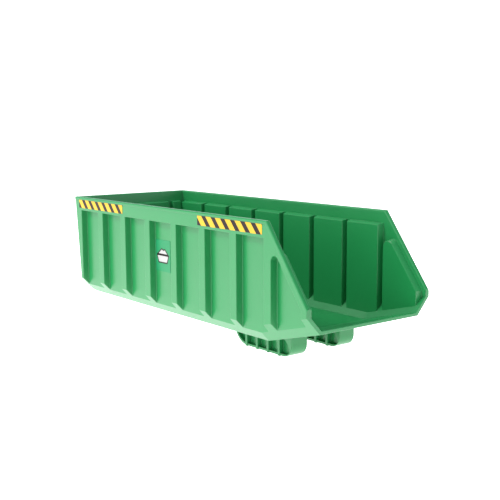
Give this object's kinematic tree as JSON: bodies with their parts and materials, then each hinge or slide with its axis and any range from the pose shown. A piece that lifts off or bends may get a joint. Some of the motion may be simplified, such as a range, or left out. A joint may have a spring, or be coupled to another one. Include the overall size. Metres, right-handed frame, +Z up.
{
  "type": "model skip wagon body",
  "caption": "Open scow-ended skip body for a garden-railway wagon: corrugated moulded tub, kicked-up open rear, cored runners under the floor and printed side labels",
  "frame": {"origin": "under the middle of the overall box, at the level of the runners' soles", "axes": "+X from the headboard to the open rear end, +Z up towards the rim, Y across; the left side is -Y, as seen facing the headboard end"},
  "size_m": [0.2689, 0.1006, 0.0864],
  "materials": {
    "green_plastic": "satin moulded plastic, self-coloured green",
    "hazard_print": "printed adhesive film with yellow and black slanted stripes",
    "emblem_print": null
  },
  "bodies": {
    "root": {"tub": "green_plastic", "runner_left": "green_plastic", "runner_right": "green_plastic", "hazard_label_front_left": "hazard_print", "hazard_label_front_right": "hazard_print", "hazard_label_rear_left": "hazard_print", "hazard_label_rear_right": "hazard_print", "emblem_label_left": "emblem_print", "emblem_label_right": "emblem_print"}
  },
  "joints": []
}
